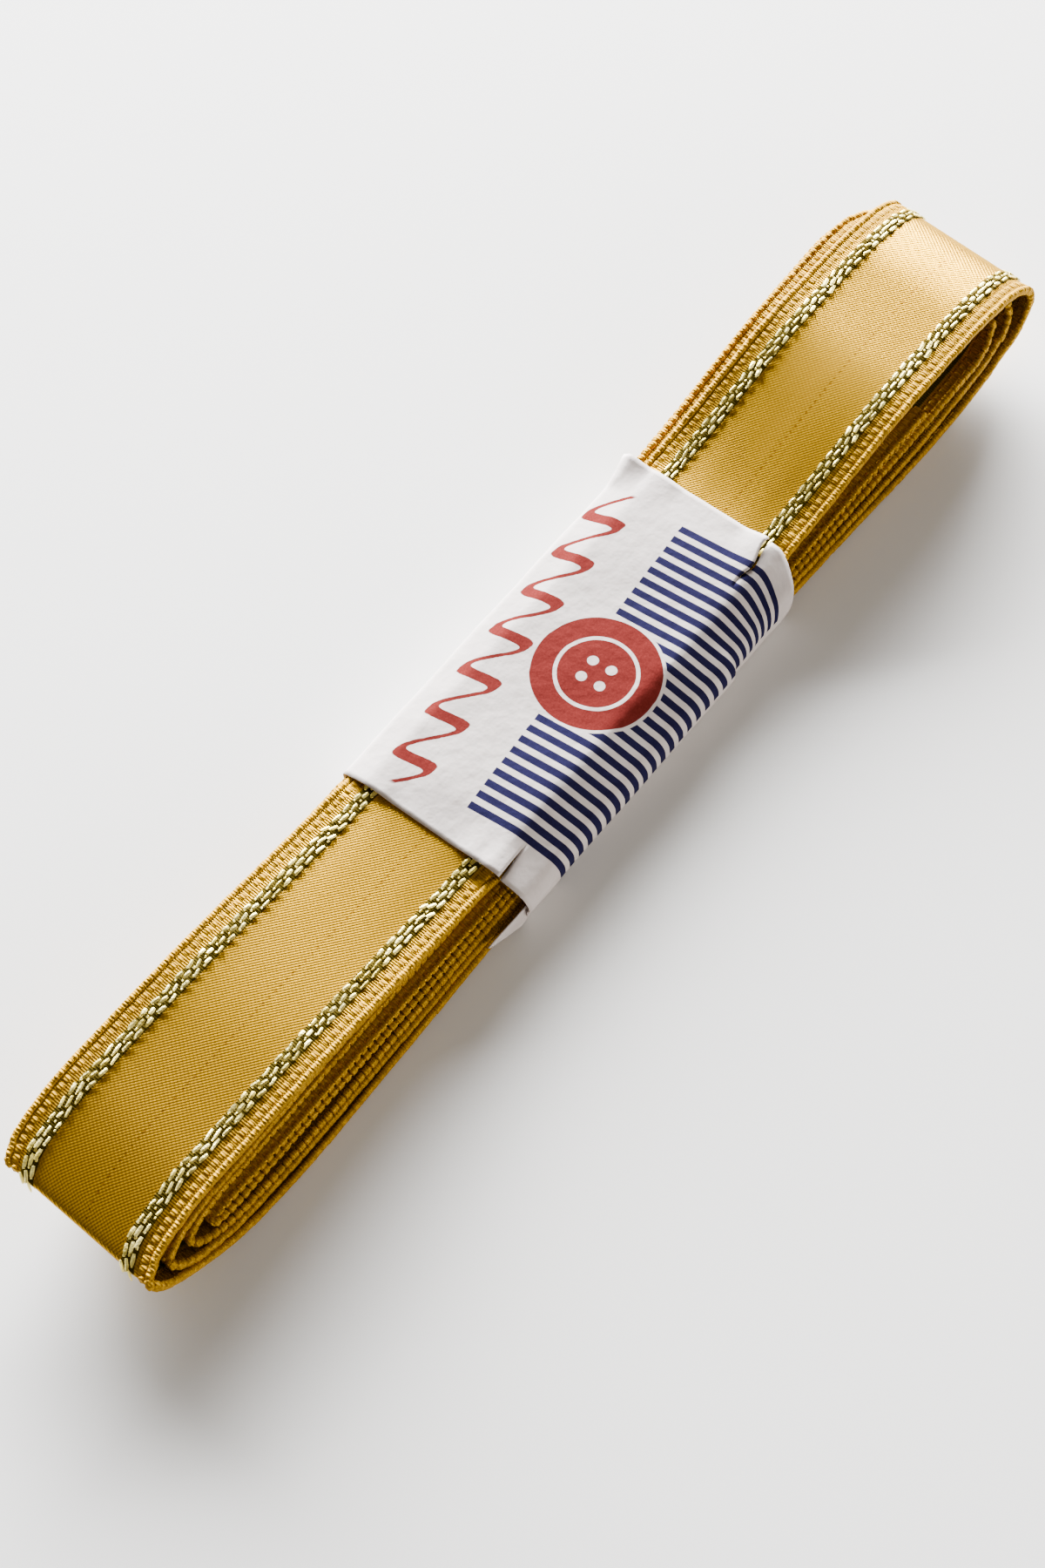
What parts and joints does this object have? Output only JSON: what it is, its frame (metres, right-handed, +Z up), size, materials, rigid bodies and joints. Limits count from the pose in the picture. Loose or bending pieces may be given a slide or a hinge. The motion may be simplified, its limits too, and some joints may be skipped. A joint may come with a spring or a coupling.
{
  "type": "ribbon hank",
  "caption": "Flat-wound hank of golden satin ribbon with metallic braid lines near both edges, held by a printed paper band that slides off.",
  "frame": {"origin": "middle of the hank's footprint, on the surface that it lies on", "axes": "+X along the hank towards the end where the inner turns stop short, +Y across the ribbon towards its far edge, +Z up"},
  "size_m": [0.191, 0.034, 0.0142],
  "materials": {
    "satin": "golden yellow satin weave with ribbed edges, soft sheen",
    "metallic_yarn": "pale gold metallic yarn, bright floats with dark gaps",
    "printed_paper": "uncoated white paper printed in blue and red",
    "glue": "dried paper glue"
  },
  "bodies": {
    "hank": {"satin_ribbon": "satin", "near_metallic_yarn_1": "metallic_yarn", "near_metallic_yarn_2": "metallic_yarn", "near_metallic_yarn_3": "metallic_yarn", "far_metallic_yarn_1": "metallic_yarn", "far_metallic_yarn_2": "metallic_yarn", "far_metallic_yarn_3": "metallic_yarn"},
    "band": {"paper_band": "printed_paper", "glue_line": "glue"}
  },
  "joints": [
    {"name": "band_slide", "type": "slide", "parent": "hank", "child": "band", "axis": [1, 0, 0], "range_m": [-0.135, 0.135], "deforming": ["satin_ribbon", "near_metallic_yarn_1", "near_metallic_yarn_2", "near_metallic_yarn_3", "far_metallic_yarn_1", "far_metallic_yarn_2", "far_metallic_yarn_3"]}
  ]
}
